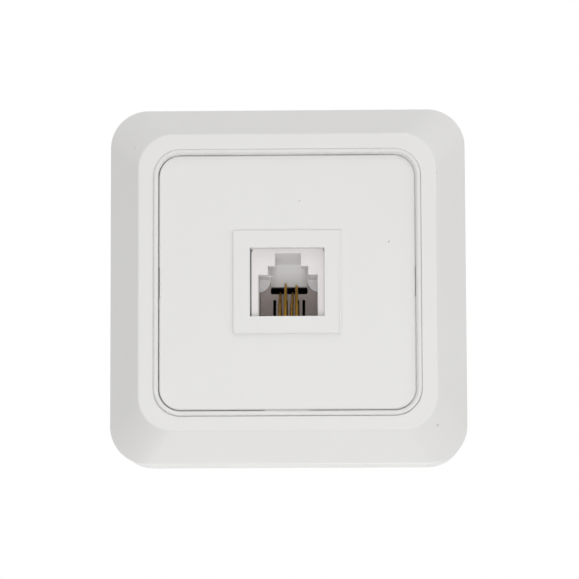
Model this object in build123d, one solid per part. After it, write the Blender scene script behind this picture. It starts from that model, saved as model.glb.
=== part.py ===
from build123d import *
import math
import os

# Every piece is drawn lying on its back: x to the right, y up the wall, z away from the wall.
# At the end each one is stood up, so that the wall is the plane y = 0 and the face looks along -Y.

# Cover
cover_width = 62.0
cover_corner = 6.6
side_height = 16.7
slope_rise = 6.9
slope_run = 5.35
ring_corner = 6.0
ring_face = 2.55
shell_wall = 1.8
wall_gap = 0.3
well_depth = 3.8
well_wall = 1.5
lip_thickness = 1.6
lip_reach = 1.4
edge_bevel = 0.25
groove_bevel = 0.2
cover_rib = 1.0
cover_rib_spacing = 24.0
knockout_width = 10.0
knockout_height = 8.0
knockout_web = 0.6

# Inner frame
rim_clearance = 0.04
bead_width = 0.8
bead_proud = 0.35
bead_bevel = 0.25
tub_clearance = 0.15
tub_wall = 1.4
tub_depth = 7.4
tub_floor = 1.6
floor_ledge = 0.3
floor_opening_foot = 2.0
hook_wedge = 0.7

# Centre plate
plate_gap = 0.18
plate_sunk = 0.5
plate_thickness = 2.0
plate_bevel = 0.2
tab_width = 7.9
tab_clearance = 0.04
clip_width = 5.1
clip_notch = 0.15
clip_thickness = 1.2
clip_length = 6.2
clip_hook = 0.9
clip_hook_height = 2.0
clip_clearance = 0.2
plate_rib = 1.0
plate_rib_height = 1.2

# Insert round the jack
bezel_width = 18.86
bezel_height = 18.0
bezel_proud = 0.5
bezel_top_corner = 0.3
bezel_low_corner = 0.5
bezel_edge = 0.22
bezel_lip = 1.2
window_side_gap = 0.13
window_top_gap = 0.05
window_low_gap = 0.1
sleeve_wall = 1.0
sleeve_length = 4.8
sleeve_clearance = 0.1
sleeve_hook = 0.5
sleeve_hook_width = 5.0
sleeve_hook_height = 1.1

# Modular jack, six positions
jack_side_wall = 1.19
jack_roof = 0.8
jack_floor = 1.15
jack_corner = 0.8
jack_behind_lip = 0.1
jack_clearance = 0.15
mouth_width = 10.2
mouth_top = 1.3
mouth_low = -5.85
step_width = 6.9
step_top = 2.8
step_depth = 4.0
notch_width = 4.4
notch_top = 5.05
notch_back_top = 4.0
lead_in = 0.12
stop_depth = 8.0
nose_depth = 9.0
tongue_width = 6.46
tongue_low = 0.03
shoulder_radius = 2.2
shoulder_inset = 0.3
position_count = 6
position_pitch = 1.02
contact_slot_width = 0.5
contact_slot_top = -2.13
contact_slot_depth = 5.0
tip_slot_height = 1.15
tip_slot_depth = 5.7
tip_slot_corner = 0.3
insert_clearance = 0.05
peg_radius = 1.4
peg_spacing = 7.0
peg_height = 3.5
peg_overhang = 0.6
peg_clearance = 0.15

# Contact wires
wire_count = 4
wire_radius = 0.3
wire_flats = 6
wire_tip_radius = 0.2
wire_tip_length = 2.4
wire_bend_radius = 0.45
wire_bend_depth = 0.8
wire_run_depth = 0.75
wire_slot_length = 3.8
wire_groove_clearance = 0.05
wire_tail = 1.2
wire_hole_clearance = 0.12
short_tip_depth = 8.65
short_tip_height = -1.12
long_tip_depth = 7.4
long_tip_height = 0.3

# Board
board_foot = 5.8
board_thickness = 1.6
board_corner = 1.0
board_shift = 0.12
board_hole_inset = 1.8
board_hole_radius = 1.15
board_screw_radius = 0.85
board_screw_head = 1.5
board_screw_head_height = 1.1
board_screw_length = 4.0
screw_floor_web = 0.5

# Screw terminals
terminal_count = 4
terminal_pitch = 5.0
terminal_wall = 0.8
terminal_gap = 0.5
terminal_deep = 8.4
terminal_top_gap = 1.0
terminal_bevel = 1.2
terminal_floor = 1.0
entry_width = 3.2
entry_height = 3.0
clamp_clearance = 0.15
clamp_height = 4.8
clamp_wall = 0.7
clamp_length = 4.4
clamp_pin = 0.9
clamp_pin_tail = 1.2
pin_hole_clearance = 0.15
terminal_screw_radius = 1.2
terminal_head_radius = 1.65
terminal_head_height = 1.4
terminal_head_sunk = 0.4
terminal_screw_end = 0.4
bore_clearance = 0.1

# Back box
box_clearance = 0.2
box_wall = 1.6
box_floor = 2.0
box_wall_drop = 1.7
standoff_height = 3.0
standoff_radius = 1.75
support_rib = 0.8
post_radius = 2.2
post_clearance = 0.4
post_height_on_wall = 12.5
post_rib = 0.8
post_rib_reach = 3.2
post_rib_rise = 0.6
carrier_screw_radius = 1.1
carrier_screw_head = 1.9
carrier_screw_head_height = 1.5
carrier_screw_length = 11.0
carrier_screw_bottom_gap = 0.3
head_clearance = 0.1
cross_reach = 0.55
cross_thickness = 0.14
cross_depth = 0.55
screw_clearance = 0.05
screw_hole_clearance = 0.4
recess_width = 0.7
recess_depth = 0.7
wall_hole_radius = 2.1
wall_hole_edge = 0.9
wall_screw_head = 4.0
cable_slot_width = 16.0
cable_slot_height = 6.0
cable_slot_offset = 2.7
cable_slot_corner = 1.0
cable_gap_width = 10.0
cable_gap_sill = 1.0

# How far two forms of one solid run into each other where they join
join_bite = 0.2

# Levels above the wall
cover_front = side_height + slope_rise
well_floor = cover_front - well_depth
lip_back = well_floor - lip_thickness
plate_front = cover_front - plate_sunk
plate_back = plate_front - plate_thickness
bezel_front = plate_front + bezel_proud
tub_back = well_floor - tub_depth
tub_front = tub_back + tub_floor
box_front = side_height - box_wall_drop
board_back = box_floor + standoff_height
board_front = board_back + board_thickness
jack_face = bezel_front - bezel_lip - jack_behind_lip
sleeve_back = bezel_front - bezel_lip - sleeve_length
terminal_top = sleeve_back - terminal_top_gap
cage_top = board_front + clamp_height
screw_bore_end = tub_front - carrier_screw_length - carrier_screw_bottom_gap

# Half widths, from the cover inwards
cover_half = cover_width / 2
ring_half = cover_half - slope_run
well_half = ring_half - ring_face
lip_half = well_half - lip_reach
rim_half = well_half - rim_clearance
bead_half = rim_half - bead_width
plate_half = bead_half - plate_gap
tub_half = lip_half - tub_clearance
tub_inner = tub_half - tub_wall
box_half = cover_half - shell_wall - box_clearance
box_inner = box_half - box_wall
post_x = tub_inner - carrier_screw_head - head_clearance
floor_opening_half = post_x - carrier_screw_head - floor_ledge
wall_hole_x = box_inner - wall_screw_head - wall_hole_edge
cable_slot_middle = box_inner - cable_slot_offset - cable_slot_height / 2

# The jack, measured from the middle of the face
jack_half = mouth_width / 2 + jack_side_wall
jack_top = notch_top + jack_roof
jack_low = mouth_low - jack_floor
window_half = jack_half + window_side_gap
window_top = jack_top + window_top_gap
window_low = mouth_low - window_low_gap
sleeve_half = max(jack_half + board_shift, -jack_low) + jack_clearance + sleeve_wall
wire_run_height = jack_low + wire_run_depth / 2

# The board and the screw terminals above the jack
terminal_length = terminal_count * terminal_pitch + terminal_wall
terminal_low = jack_top + terminal_gap
terminal_high = terminal_low + terminal_deep
terminal_middle = terminal_low + terminal_deep / 2
board_half = post_x - post_radius - post_clearance - board_shift
board_low = jack_low - board_foot
board_high = terminal_high + head_clearance + board_screw_head + board_hole_inset

# Corner radii of the nested outlines
well_corner = ring_corner - (ring_half - well_half) / 2
bead_corner = well_corner - (well_half - bead_half)
plate_corner = bead_corner - plate_gap
tub_corner = plate_corner


def slab(width, height, low, high, corner=0.0):
    """A rectangular plate, with round corners if asked, between two levels."""
    outline = Rectangle(width, height)
    if corner > 0:
        outline = RectangleRounded(width, height, corner)
    return extrude(Pos(0, 0, low) * outline, high - low)


def square(half, low, high, corner=0.0):
    """A square plate about the middle, given by its half width."""
    return slab(2 * half, 2 * half, low, high, corner)


def block(left, right, bottom, top, low, high):
    """A plain box given by its six sides."""
    middle = Pos((left + right) / 2, (bottom + top) / 2, (low + high) / 2)
    return middle * Box(right - left, top - bottom, high - low)


def rod(x, y, radius, low, high):
    """A round bar along z."""
    return Pos(x, y, (low + high) / 2) * Cylinder(radius, high - low)


def across(outline_points, width):
    """A prism whose side view is a list of (y, z) corners, centred on x = 0."""
    outline = make_face(Polyline([(y, z) for y, z in outline_points], close=True))
    turned = Plane(origin=(-width / 2, 0, 0), x_dir=(0, 1, 0), z_dir=(1, 0, 0)) * outline
    return extrude(turned, width, dir=(1, 0, 0))


def front_edges(solid, level):
    """The edges of a solid that lie in one level."""
    return solid.edges().filter_by_position(Axis.Z, level - 0.001, level + 0.001)


def distance_out(edge):
    """How far an edge reaches out from the middle, along x or y."""
    box = edge.bounding_box()
    return max(-box.min.X, box.max.X, -box.min.Y, box.max.Y)


def four_ways(solid):
    """The same piece on the left, right, top and bottom."""
    return [Rot(0, 0, turn) * solid for turn in (0, 90, 180, 270)]


def cover_body():
    """The cover's outer form: an upright side wall, a straight slope and a bevel up to the ring."""
    side = square(cover_half, wall_gap, side_height, cover_corner)
    lean = slope_run / slope_rise
    bevel_half = ring_half + edge_bevel * lean
    face_half = ring_half - edge_bevel / 2
    foot = Pos(0, 0, side_height) * RectangleRounded(cover_width, cover_width, cover_corner)
    bevel = Pos(0, 0, cover_front - edge_bevel) * RectangleRounded(2 * bevel_half, 2 * bevel_half,
                                                                   ring_corner)
    face = Pos(0, 0, cover_front) * RectangleRounded(2 * face_half, 2 * face_half,
                                                     ring_corner - edge_bevel / 2)
    return side + loft([foot, bevel, face], ruled=True)


def cover_hollow():
    """The space under the shell, with walls of one thickness along the side and the slope."""
    inset = shell_wall * math.hypot(slope_rise, slope_run) / slope_rise
    side_half = cover_half - shell_wall
    lean = slope_run / slope_rise
    bend = side_height - (inset - shell_wall) / lean
    roof = cover_front - shell_wall
    roof_half = cover_half - inset - (roof - side_height) * lean
    corner = cover_corner - shell_wall
    roof_corner = ring_corner - (ring_half - roof_half)
    low = square(side_half, 0, bend, corner)
    foot = Pos(0, 0, bend) * RectangleRounded(2 * side_half, 2 * side_half, corner)
    top = Pos(0, 0, roof) * RectangleRounded(2 * roof_half, 2 * roof_half, roof_corner)
    return low + loft([foot, top], ruled=True)


def cover_frame():
    body = cover_body()
    well_outer = well_half + well_wall
    cover = body - cover_hollow()
    cover += square(well_outer, lip_back, cover_front - edge_bevel, well_corner + well_wall)
    ribs = []
    for side in (-1, 1):
        middle = side * cover_rib_spacing / 2
        reach = cover_half - shell_wall / 2
        rib = block(well_outer - well_wall / 2, reach, middle - cover_rib / 2,
                    middle + cover_rib / 2, box_front, cover_front - shell_wall / 2)
        ribs += [piece & body for piece in four_ways(rib)]
    for rib in ribs:
        cover += rib
    cover -= square(well_half, well_floor, cover_front + 1, well_corner)
    cover -= square(lip_half, 0, cover_front, well_corner - lip_reach)
    inner = [edge for edge in front_edges(cover, cover_front)
             if distance_out(edge) < well_half + ring_face / 2]
    cover = chamfer(inner, groove_bevel)
    inside = cover_half - shell_wall
    cover -= block(-knockout_width / 2, knockout_width / 2, inside - 1,
                   cover_half - knockout_web, 0, knockout_height)
    return cover


def back_box():
    corner = cover_corner - shell_wall - box_clearance
    box = square(box_half, 0, box_front, corner)
    box -= square(box_inner, box_floor, box_front + 1, corner - box_wall)
    for side in (-1, 1):
        box += post(side * -post_x, side * post_height_on_wall)
    for x, y in board_screw_places():
        box += rod(x, y, standoff_radius, box_floor / 2, board_back)
    for x, y in plain_support_places():
        box += crossed_ribs(x, y)
    box -= Pos(0, cable_slot_middle, 0) * slab(cable_slot_width, cable_slot_height, -1,
                                               box_floor + 1, cable_slot_corner)
    for side in (-1, 1):
        x = side * wall_hole_x
        box -= rod(x, 0, wall_hole_radius, -1, box_floor + 1)
        bore = carrier_screw_radius + screw_clearance
        box -= rod(side * -post_x, side * post_height_on_wall, bore,
                   screw_bore_end, tub_back + 1)
    for x, y in board_screw_places():
        box -= rod(x, y, board_screw_radius + screw_clearance, screw_floor_web, board_back + 1)
    half_gap = cable_gap_width / 2
    box -= block(-half_gap, half_gap, box_inner - 1, box_half + 1,
                 box_floor + cable_gap_sill, box_front + 1)
    return box


def post(x, y):
    """A screw post of the back box, with thin gussets along the wall plane."""
    shape = rod(x, y, post_radius, box_floor / 2, tub_back)
    reach = post_radius + post_rib_reach
    low = box_floor / 2
    high = box_floor + (tub_back - box_floor) * post_rib_rise
    side = make_face(Polyline([(0, low), (reach, low), (0, high)], close=True))
    upright = Plane(origin=(x, y + post_rib / 2, 0), x_dir=(1, 0, 0), z_dir=(0, -1, 0)) * side
    gusset = extrude(upright, post_rib, dir=(0, -1, 0))
    toward_wall = 1 if x > 0 else -1
    if toward_wall < 0:
        gusset = mirror(gusset, Plane(origin=(x, 0, 0), x_dir=(0, 1, 0), z_dir=(1, 0, 0)))
    return shape + gusset


def support_places():
    """Places of the board's four supports, one under each of its corners."""
    x = board_half - board_hole_inset
    return [(sign * x, y) for sign in (-1, 1)
            for y in (board_low + board_hole_inset, board_high - board_hole_inset)]


def board_screw_places():
    """The two standoffs on one diagonal, which take a screw."""
    places = support_places()
    return [places[0], places[3]]


def plain_support_places():
    """The two supports on the other diagonal, which only bear the board."""
    places = support_places()
    return [places[1], places[2]]


def crossed_ribs(x, y):
    """A plain support of the board, two ribs that cross."""
    level = box_floor / 2
    middle = Pos(x, y, 0)
    one = slab(2 * standoff_radius, support_rib, level, board_back)
    other = slab(support_rib, 2 * standoff_radius, level, board_back)
    return middle * (one + other)


def carrier_frame():
    rim = square(rim_half, well_floor, cover_front + bead_proud, well_corner - rim_clearance)
    rim -= square(bead_half, plate_back, cover_front + 2, bead_corner)
    rim = chamfer(front_edges(rim, cover_front + bead_proud), bead_bevel)
    tub = square(tub_half, tub_back, plate_back, tub_corner)
    frame = rim + tub
    frame -= square(tub_inner, tub_front, plate_back + 1, tub_corner - tub_wall)
    frame -= block(-floor_opening_half, floor_opening_half, jack_low - floor_opening_foot,
                   tub_inner, tub_back - 1, tub_front + 1)
    hook_top = plate_back - clip_length + clip_hook_height
    hook_slot = clip_width / 2 + clip_clearance
    for side in (-1, 1):
        inner = tub_inner - 1
        outer = tub_half + 1
        edges = sorted((side * inner, side * outer))
        frame -= block(edges[0], edges[1], -hook_slot, hook_slot,
                       hook_top - clip_hook_height - clip_clearance, hook_top + clip_clearance)
        hole = carrier_screw_radius + screw_hole_clearance
        frame -= rod(side * -post_x, side * post_height_on_wall, hole, tub_back - 1, tub_front + 1)
    return frame


def center_plate():
    plate = square(plate_half, plate_back, plate_front, plate_corner)
    for side in (-1, 1):
        edges = sorted((side * (plate_half - clip_notch), side * (plate_half + 1)))
        plate -= block(edges[0], edges[1], -clip_width / 2, clip_width / 2,
                       plate_back - 1, plate_front + 1)
    plate = chamfer(front_edges(plate, plate_front), plate_bevel)
    tab_reach = plate_half + plate_gap - tab_clearance
    plate += block(-tab_width / 2, tab_width / 2, -tab_reach, -plate_half + 1,
                   plate_back, plate_front - plate_bevel)
    hole_half = sleeve_half + sleeve_clearance
    rib_half = hole_half + sleeve_hook + plate_rib + sleeve_clearance
    rib = square(rib_half, plate_back - plate_rib_height, plate_back + join_bite)
    rib -= square(rib_half - plate_rib, plate_back - plate_rib_height - 1, plate_back)
    plate += rib
    plate -= square(hole_half, plate_back - plate_rib_height - 1, plate_front + 1)
    leg_outer = tub_inner - clip_clearance
    low = plate_back - clip_length
    for turn in (0, 180):
        plate += Rot(0, 0, turn) * clip_leg(leg_outer, low)
    for turn in (90, 270):
        guide = block(leg_outer - clip_thickness, leg_outer, -clip_width / 2, clip_width / 2,
                      plate_back - clip_length / 2, plate_back + join_bite)
        plate += Rot(0, 0, turn) * guide
    return plate


def clip_leg(outer, low):
    """A sprung leg on the right of the plate, with a wedge hook at its end."""
    leg = block(outer - clip_thickness, outer, -clip_width / 2, clip_width / 2,
                low, plate_back + join_bite)
    hook = make_face(Polyline([(outer - join_bite, low), (outer, low),
                               (outer + clip_hook, low + clip_hook_height * hook_wedge),
                               (outer + clip_hook, low + clip_hook_height),
                               (outer - join_bite, low + clip_hook_height)], close=True))
    upright = Plane(origin=(0, clip_width / 2, 0), x_dir=(1, 0, 0), z_dir=(0, -1, 0)) * hook
    return leg + extrude(upright, clip_width, dir=(0, -1, 0))


def jack_bezel():
    outline = Rectangle(bezel_width, bezel_height)
    corners = outline.vertices().group_by(Axis.Y)
    outline = fillet(corners[-1], bezel_top_corner)
    outline = fillet(outline.vertices().filter_by(lambda v: v.Y < -bezel_height / 2 + 0.01),
                     bezel_low_corner)
    bezel = extrude(Pos(0, 0, plate_front) * outline, bezel_proud)
    bezel = chamfer(front_edges(bezel, bezel_front), bezel_edge)
    bezel += square(sleeve_half, sleeve_back, plate_front + bezel_proud / 2)
    inner = sleeve_half - sleeve_wall
    bezel -= square(inner, sleeve_back - 1, bezel_front - bezel_lip)
    for side in (-1, 1):
        edges = sorted((side * (sleeve_half - sleeve_wall / 2), side * (sleeve_half + sleeve_hook)))
        bezel += block(edges[0], edges[1], -sleeve_hook_width / 2, sleeve_hook_width / 2,
                       plate_back - sleeve_clearance / 2 - sleeve_hook_height,
                       plate_back - sleeve_clearance / 2)
    bezel -= block(-window_half, window_half, window_low, window_top,
                   bezel_front - bezel_lip - 1, bezel_front + 1)
    return bezel


def jack_mouth():
    """The space for the plug, from the face to the stops, with the sloping latch notch."""
    stop = jack_face - stop_depth
    body = block(-mouth_width / 2, mouth_width / 2, mouth_low, mouth_top, stop, jack_face + 1)
    step = block(-step_width / 2, step_width / 2, mouth_top - 1, step_top,
                 jack_face - step_depth, jack_face + 1)
    slope = (notch_top - notch_back_top) / stop_depth
    notch = across([(mouth_top - 1, stop), (notch_back_top, stop),
                    (notch_top + slope, jack_face + 1), (mouth_top - 1, jack_face + 1)], notch_width)
    pocket = across([(mouth_top - 1, stop), (notch_back_top, stop),
                     (notch_back_top + slope * (stop_depth - step_depth), jack_face - step_depth),
                     (mouth_top - 1, jack_face - step_depth)], step_width)
    return body + step + notch + pocket


def stop_shape(low, high):
    """The tongue and the two round shoulders that stop the plug."""
    tongue = block(-tongue_width / 2, tongue_width / 2, tongue_low, mouth_top + join_bite, low, high)
    stops = tongue
    for side in (-1, 1):
        shoulder = rod(side * (mouth_width / 2 + shoulder_inset), mouth_top, shoulder_radius,
                       low, high)
        stops += shoulder
    return stops


def position_x(index, count):
    """The place across the jack of one contact position out of a centred row."""
    return (index - (count - 1) / 2) * position_pitch


def jack_housing():
    body = block(-jack_half, jack_half, jack_low, jack_top, board_front, jack_face)
    body = fillet(body.edges().filter_by(Axis.Z), jack_corner)
    body -= jack_mouth()
    nose = block(-mouth_width / 2, mouth_width / 2, mouth_low, mouth_top,
                 board_front - 1, jack_face - stop_depth + join_bite)
    nose -= stop_shape(jack_face - nose_depth, jack_face)
    body -= nose
    mouth_edges = [edge for edge in front_edges(body, jack_face)
                   if abs(edge.center().X) < mouth_width / 2 + 0.1
                   and mouth_low - 0.1 < edge.center().Y < notch_top + 0.1]
    body = chamfer(mouth_edges, lead_in)
    groove_half = wire_radius + wire_groove_clearance
    front = jack_face - wire_bend_depth
    for index in range(position_count):
        x = position_x(index, position_count)
        body -= block(x - groove_half, x + groove_half, jack_low - 1, jack_low + wire_run_depth,
                      board_front - 1, front)
        body -= block(x - groove_half, x + groove_half, jack_low - 1, mouth_low + join_bite,
                      front - wire_slot_length, front)
    for side in (-1, 1):
        x = side * peg_spacing / 2
        body += rod(x, peg_height, peg_radius, board_back - peg_overhang, board_front)
    return body


def contact_carrier():
    low = board_front
    high = jack_face - nose_depth
    gap = insert_clearance
    body = block(-mouth_width / 2 + gap, mouth_width / 2 - gap, mouth_low + gap, mouth_top - gap,
                 low, high)
    slot = RectangleRounded(tongue_width, tip_slot_height, tip_slot_corner)
    slot_middle = tongue_low - tip_slot_height / 2
    body -= extrude(Pos(0, slot_middle, high - tip_slot_depth) * slot, tip_slot_depth + 1)
    for index in range(position_count):
        x = position_x(index, position_count)
        body -= block(x - contact_slot_width / 2, x + contact_slot_width / 2, mouth_low - 1,
                      contact_slot_top, high - contact_slot_depth, high + 1)
    return body


def contact_wire(index):
    """One wire: a tail through the board, a run along the jack's floor and a sprung free end."""
    x = position_x(index, wire_count)
    long_one = index % 2 == 1
    tip_depth = long_tip_depth if long_one else short_tip_depth
    tip_y = long_tip_height if long_one else short_tip_height
    start = Vector(x, wire_run_height, board_back - wire_tail)
    turn = Vector(x, wire_run_height, jack_face - wire_bend_depth)
    tip = Vector(x, tip_y, jack_face - tip_depth)
    along = (tip - turn).normalized()
    shoulder = tip - along * wire_tip_length
    path = FilletPolyline(start, turn, shoulder, radius=wire_bend_radius)
    section = Plane(origin=start, z_dir=(0, 0, 1)) * wire_section(wire_radius)
    wire = sweep(section, path=path)
    thick_end = Plane(origin=shoulder, x_dir=(1, 0, 0), z_dir=along) * wire_section(wire_radius)
    thin_end = Plane(origin=tip, x_dir=(1, 0, 0), z_dir=along) * wire_section(wire_tip_radius)
    return wire + loft([thick_end, thin_end])


def wire_section(radius):
    """The wire's section, drawn with a few flats, one of them to each side."""
    return RegularPolygon(radius, wire_flats, major_radius=False, rotation=180 / wire_flats)


def circuit_board():
    height = board_high - board_low
    middle = (board_high + board_low) / 2
    board = Pos(0, middle, 0) * slab(2 * board_half, height, board_back, board_front, board_corner)
    for x, y in board_screw_places():
        board -= rod(x, y, board_hole_radius, board_back - 1, board_front + 1)
    for side in (-1, 1):
        x = side * peg_spacing / 2
        board -= rod(x, peg_height, peg_radius + peg_clearance, board_back - 1, board_front + 1)
    for index in range(wire_count):
        x = position_x(index, wire_count)
        hole = Pos(x, wire_run_height, board_back - 1) * wire_section(wire_radius + wire_hole_clearance)
        board -= extrude(hole, board_thickness + 2)
    for index in range(terminal_count):
        hole = clamp_pin / 2 + pin_hole_clearance
        board -= block(terminal_x(index) - hole, terminal_x(index) + hole, terminal_middle - hole,
                       terminal_middle + hole, board_back - 1, board_front + 1)
    return board


def terminal_x(index):
    """The place across the board of one screw terminal."""
    return (index - (terminal_count - 1) / 2) * terminal_pitch


def terminal_block():
    side_view = [(terminal_low, board_front), (terminal_high, board_front),
                 (terminal_high, terminal_top - terminal_bevel),
                 (terminal_high - terminal_bevel, terminal_top),
                 (terminal_low + terminal_bevel, terminal_top),
                 (terminal_low, terminal_top - terminal_bevel)]
    body = across(side_view, terminal_length)
    cage = terminal_pitch - terminal_wall
    for index in range(terminal_count):
        x = terminal_x(index)
        cage_y = clamp_length / 2 + clamp_clearance
        body -= block(x - cage / 2, x + cage / 2, terminal_middle - cage_y, terminal_middle + cage_y,
                      board_front - 1, cage_top + clamp_clearance)
        body -= rod(x, terminal_middle, terminal_head_radius + bore_clearance, board_front,
                    terminal_top + 1)
        body -= block(x - entry_width / 2, x + entry_width / 2, terminal_middle, terminal_high + 1,
                      board_front + terminal_floor, board_front + terminal_floor + entry_height)
    return body


def terminal_clamp(index):
    """A square metal cage with a threaded top and a pin through the board."""
    x = terminal_x(index)
    half = (terminal_pitch - terminal_wall) / 2 - clamp_clearance
    y = terminal_middle
    cage = block(x - half, x + half, y - clamp_length / 2, y + clamp_length / 2,
                 board_front, cage_top)
    cage -= block(x - half + clamp_wall, x + half - clamp_wall, y - clamp_length, y + clamp_length,
                  board_front + clamp_wall, cage_top - 2 * clamp_wall)
    cage -= rod(x, y, terminal_screw_radius + screw_clearance, board_front + clamp_wall * 2,
                cage_top + 1)
    cage += block(x - clamp_pin / 2, x + clamp_pin / 2, y - clamp_pin / 2, y + clamp_pin / 2,
                  board_back - clamp_pin_tail, board_front + clamp_wall / 2)
    return cage


def terminal_screw(index):
    """A slotted clamp screw, with its head a little below the top of the block."""
    x = terminal_x(index)
    top = terminal_top - terminal_head_sunk
    head = rod(x, terminal_middle, terminal_head_radius, top - terminal_head_height, top)
    tip = cage_top - 2 * clamp_wall - terminal_screw_end
    shank = rod(x, terminal_middle, terminal_screw_radius, tip, top - terminal_head_height)
    slot = block(x - terminal_head_radius, x + terminal_head_radius,
                 terminal_middle - recess_width / 2, terminal_middle + recess_width / 2,
                 top - recess_depth, top + 1)
    return head + shank - slot


def cross_screw(x, y, head_radius, head_height, shank_radius, length, seat):
    """A screw with a round head and a cross recess, seated on a level."""
    head = rod(x, y, head_radius, seat, seat + head_height)
    shank = rod(x, y, shank_radius, seat - length, seat)
    arm = head_radius * cross_reach
    thin = head_radius * cross_thickness
    deep = seat + head_height * (1 - cross_depth)
    top = seat + head_height + 1
    cross = block(x - arm, x + arm, y - thin, y + thin, deep, top)
    cross += block(x - thin, x + thin, y - arm, y + arm, deep, top)
    return head + shank - cross


def carrier_screw(index):
    side = (-1, 1)[index]
    return cross_screw(side * -post_x, side * post_height_on_wall, carrier_screw_head,
                       carrier_screw_head_height, carrier_screw_radius,
                       carrier_screw_length, tub_front)


def board_screw(index):
    x, y = board_screw_places()[index]
    return cross_screw(x, y, board_screw_head, board_screw_head_height, board_screw_radius,
                       board_screw_length, board_front)


def all_pieces():
    """Every piece by name. Those on the board share its small shift to the right."""
    pieces = {
        "back_box": back_box(),
        "cover_frame": cover_frame(),
        "carrier_frame": carrier_frame(),
        "center_plate": center_plate(),
        "jack_bezel": jack_bezel(),
    }
    on_board = {
        "circuit_board": circuit_board(),
        "jack_housing": jack_housing(),
        "contact_carrier": contact_carrier(),
        "terminal_block": terminal_block(),
    }
    for index in range(wire_count):
        on_board[f"contact_wire_{index + 1}"] = contact_wire(index)
    for index in range(terminal_count):
        on_board[f"terminal_clamp_{index + 1}"] = terminal_clamp(index)
        on_board[f"terminal_screw_{index + 1}"] = terminal_screw(index)
    for name, solid in on_board.items():
        pieces[name] = Pos(board_shift, 0, 0) * solid
    for index in range(2):
        pieces[f"carrier_screw_{index + 1}"] = carrier_screw(index)
        pieces[f"board_screw_{index + 1}"] = board_screw(index)
    return pieces


os.makedirs("parts", exist_ok=True)
for name, solid in all_pieces().items():
    standing = Rot(90, 0, 0) * solid
    export_step(standing, f"parts/{name}.step")
    print(name, round(solid.volume, 2))
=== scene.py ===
import bpy
import math
import numpy as np
from mathutils import Matrix, Vector


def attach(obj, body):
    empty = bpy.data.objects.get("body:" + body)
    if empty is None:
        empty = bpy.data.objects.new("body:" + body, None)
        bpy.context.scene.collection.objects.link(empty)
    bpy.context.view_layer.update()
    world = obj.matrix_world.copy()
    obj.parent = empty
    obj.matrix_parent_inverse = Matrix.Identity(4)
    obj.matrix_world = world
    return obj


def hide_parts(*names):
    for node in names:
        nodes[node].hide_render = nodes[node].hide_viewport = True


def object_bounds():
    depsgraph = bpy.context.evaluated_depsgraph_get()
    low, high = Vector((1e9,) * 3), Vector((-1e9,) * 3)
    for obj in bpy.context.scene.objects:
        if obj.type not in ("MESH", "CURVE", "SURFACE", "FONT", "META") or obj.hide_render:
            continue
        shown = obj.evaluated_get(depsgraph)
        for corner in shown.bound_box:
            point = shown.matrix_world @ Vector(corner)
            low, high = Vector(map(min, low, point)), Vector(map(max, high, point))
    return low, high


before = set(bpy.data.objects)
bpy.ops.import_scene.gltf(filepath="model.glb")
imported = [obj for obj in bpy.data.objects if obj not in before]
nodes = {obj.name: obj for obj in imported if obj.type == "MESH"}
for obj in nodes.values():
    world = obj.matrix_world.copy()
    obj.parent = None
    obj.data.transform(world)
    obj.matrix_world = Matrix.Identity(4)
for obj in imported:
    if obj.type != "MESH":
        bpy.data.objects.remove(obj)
cadLow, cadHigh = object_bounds()
scene = bpy.context.scene
print("frame loaded,", len(nodes), "nodes")

mm = 0.001  # lengths below are written in millimetres and made metres by this
frontLevel = 23.6  # the ring's face above the wall, from the cover's box without the bead

cameraView = {
    "distance": 500.0,  # from the middle of the ring's plane to the lens, along the lens axis
    "pitch": -6.09,  # degrees that the socket leans away from the lens, about its level axis
    "yaw": -1.27,  # degrees about its upright axis
    "roll": 0.2,
    "sideways": -0.41,  # where the socket's middle stands in the view, in millimetres
    "upwards": 1.37,
    "focalPixels": 5.815 * 500.0,  # focal length in pixels of the picture
    "pictureWidth": 579,
    "sensor": 36.0,
    "nearest": 0.01, "furthest": 20,  # what the lens takes in, in metres
}


# scene: camera and light
def turnAbout(axis, degrees):
    return np.array(Matrix.Rotation(math.radians(degrees), 3, axis))


def placeCamera():
    # view axes = roll * pitch * yaw in a frame with x right, y up and z towards the lens;
    # that frame is then stood up: y becomes Z, and z becomes -Y
    c = cameraView
    turn = turnAbout("Z", c["roll"]) @ turnAbout("X", c["pitch"]) @ turnAbout("Y", c["yaw"])
    shift = np.array([c["sideways"], c["upwards"], -c["distance"]])
    eye = turn.T @ -shift
    stand = np.array([[1, 0, 0], [0, 0, -1], [0, 1, 0]])
    place = stand @ (eye + np.array([0, 0, frontLevel])) * mm
    data = bpy.data.cameras.new("camera")
    data.sensor_width = c["sensor"]
    data.lens = c["sensor"] * c["focalPixels"] / c["pictureWidth"]
    data.clip_start, data.clip_end = c["nearest"], c["furthest"]
    cam = bpy.data.objects.new("camera", data)
    scene.collection.objects.link(cam)
    axes = Matrix((stand @ turn.T).tolist()).to_4x4()
    axes.translation = Vector(place)
    cam.matrix_world = axes
    scene.camera = cam


placeCamera()

lamps = {
    # each is (place, aim, size, level): metres, and how bright it alone makes a white card
    # that faces it
    "low": ((0.05, -1.05, -0.45), (0, -0.02, 0), 0.6, 0.125),
    "near": ((0.0, -0.32, -0.2), (0, -0.02, -0.015), 0.22, 0.22),
    "under": ((0.0, 0.38, -0.5), (0, -0.01, -0.02), 0.4, 0.37),
    "right": ((0.7, -0.45, 0.05), (0, -0.02, 0), 0.5, 0.125),
    "top": ((0.0, -0.42, 0.6), (0, -0.02, 0.01), 0.5, 0.205),
    "back": ((0.3, 1.0, 0.5), (0, 0, 0), 0.9, 0.3),
}


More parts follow.
